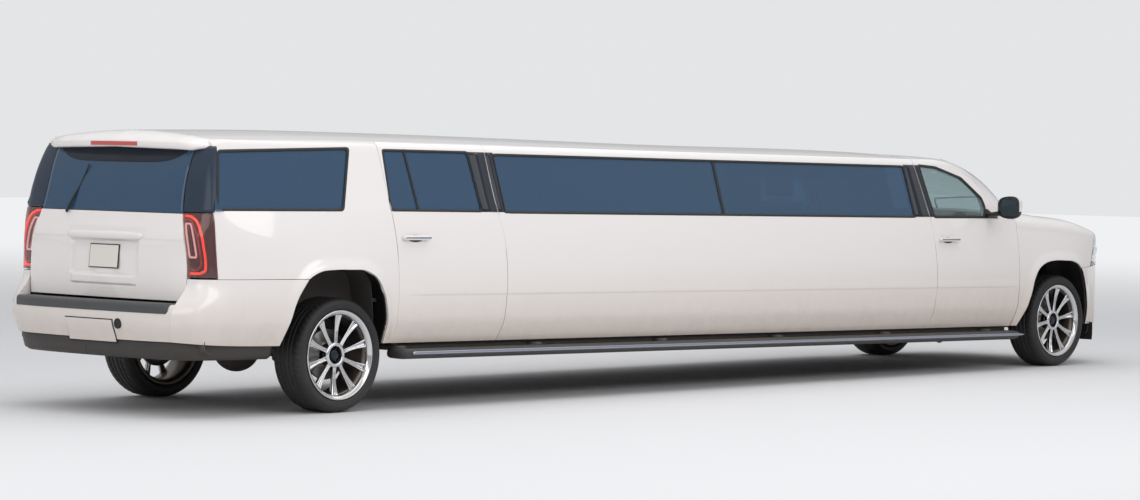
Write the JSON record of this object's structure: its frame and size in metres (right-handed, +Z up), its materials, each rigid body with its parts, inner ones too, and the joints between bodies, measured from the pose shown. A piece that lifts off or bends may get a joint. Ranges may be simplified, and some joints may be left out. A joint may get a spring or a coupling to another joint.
{
  "type": "stretch limousine",
  "caption": "Stretched full-size sport utility limousine with opening side doors, hood and liftgate, steered front wheels and a hollow passenger cabin.",
  "frame": {"origin": "on the road under the middle of the overall length, on the centre plane", "axes": "+X forward, +Y to the left, +Z up"},
  "size_m": [10.7537, 2.625, 1.8808],
  "materials": {
    "white_paint": "gloss white paint",
    "black_steel": "satin black paint",
    "grey_steel": "dull sheet steel",
    "cast_engine": "cast",
    "dark_glass": "tinted",
    "chrome": "polished",
    "lamp_lens": "clear lens",
    "tail_lens": "red lens",
    "tyre": "matt rubber",
    "black_plastic": "grained",
    "leather": "soft",
    "cabin_wood": "dark veneer"
  },
  "bodies": {
    "root": {"bulkhead": "grey_steel", "cabin_furniture": "cabin_wood", "cargo_floor": "grey_steel", "chassis_frame": "black_steel", "dashboard": "black_plastic", "engine": "cast_engine", "exhaust": "grey_steel", "fenders": "white_paint", "floor_pan": "grey_steel", "front_bumper": "white_paint", "front_suspension": "black_steel", "fuel_tank": "black_steel", "grille": "chrome", "headlamps": "lamp_lens", "propshaft": "black_steel", "quarter_panels": "white_paint", "radiator": "cast_engine", "rear_axle": "black_steel", "rear_bumper": "white_paint", "roof_panel": "white_paint", "running_boards": "black_plastic", "seats": "leather", "side_glass": "dark_glass", "steering_wheel": "black_plastic", "stretch_panels": "white_paint", "tail_lamps": "tail_lens", "windscreen": "dark_glass"},
    "front_door_left": {"front_door_left": "white_paint", "front_door_glass_left": "dark_glass", "mirror_left": "black_plastic"},
    "front_door_right": {"front_door_right": "white_paint", "front_door_glass_right": "dark_glass", "mirror_right": "black_plastic"},
    "rear_door_left": {"rear_door_left": "white_paint", "rear_door_glass_left": "dark_glass"},
    "rear_door_right": {"rear_door_right": "white_paint", "rear_door_glass_right": "dark_glass"},
    "hood": {"hood": "white_paint"},
    "liftgate": {"liftgate": "white_paint", "liftgate_glass": "dark_glass"},
    "knuckle_left": {"knuckle_left": "black_steel"},
    "knuckle_right": {"knuckle_right": "black_steel"},
    "wheel_front_left": {"rim_front_left": "chrome", "tyre_front_left": "tyre"},
    "wheel_front_right": {"rim_front_right": "chrome", "tyre_front_right": "tyre"},
    "wheel_rear_left": {"rim_rear_left": "chrome", "tyre_rear_left": "tyre"},
    "wheel_rear_right": {"rim_rear_right": "chrome", "tyre_rear_right": "tyre"}
  },
  "joints": [
    {"name": "front_door_left_hinge", "type": "hinge", "parent": "root", "child": "front_door_left", "pos_m": [3.75104, 0.9775, 0.70178], "axis": [-0.0127, 0, -0.9999], "range_deg": [0, 65]},
    {"name": "front_door_right_hinge", "type": "hinge", "parent": "root", "child": "front_door_right", "pos_m": [3.75104, -0.9775, 0.70178], "axis": [0.0127, 0, 0.9999], "range_deg": [0, 65]},
    {"name": "rear_door_left_hinge", "type": "hinge", "parent": "root", "child": "rear_door_left", "pos_m": [-2.44346, 0.9775, 0.7805], "axis": [-0.0127, 0, -0.9999], "range_deg": [0, 65]},
    {"name": "rear_door_right_hinge", "type": "hinge", "parent": "root", "child": "rear_door_right", "pos_m": [-2.44346, -0.9775, 0.7805], "axis": [0.0127, 0, 0.9999], "range_deg": [0, 65]},
    {"name": "hood_hinge", "type": "hinge", "parent": "root", "child": "hood", "pos_m": [4.04462, 0, 1.2961], "axis": [0, -1, 0], "range_deg": [0, 50]},
    {"name": "liftgate_hinge", "type": "hinge", "parent": "root", "child": "liftgate", "pos_m": [-4.91501, 0, 1.85499], "axis": [0, 1, 0], "range_deg": [0, 85]},
    {"name": "steer_left", "type": "hinge", "parent": "root", "child": "knuckle_left", "pos_m": [4.3985, 0.79, 0.385], "axis": [0, 0, 1], "range_deg": [-33, 33]},
    {"name": "spin_front_left", "type": "hinge", "parent": "knuckle_left", "child": "wheel_front_left", "pos_m": [4.3985, 0.8725, 0.385], "axis": [0, 1, 0], "continuous": true},
    {"name": "spin_rear_left", "type": "hinge", "parent": "root", "child": "wheel_rear_left", "pos_m": [-3.9835, 0.8725, 0.385], "axis": [0, 1, 0], "continuous": true},
    {"name": "steer_right", "type": "hinge", "parent": "root", "child": "knuckle_right", "pos_m": [4.3985, -0.79, 0.385], "axis": [0, 0, 1], "range_deg": [-33, 33]},
    {"name": "spin_front_right", "type": "hinge", "parent": "knuckle_right", "child": "wheel_front_right", "pos_m": [4.3985, -0.8725, 0.385], "axis": [0, 1, 0], "continuous": true},
    {"name": "spin_rear_right", "type": "hinge", "parent": "root", "child": "wheel_rear_right", "pos_m": [-3.9835, -0.8725, 0.385], "axis": [0, 1, 0], "continuous": true}
  ],
  "couplings": [
    {"joint": "steer_right", "follows": "steer_left", "ratio": 1}
  ]
}
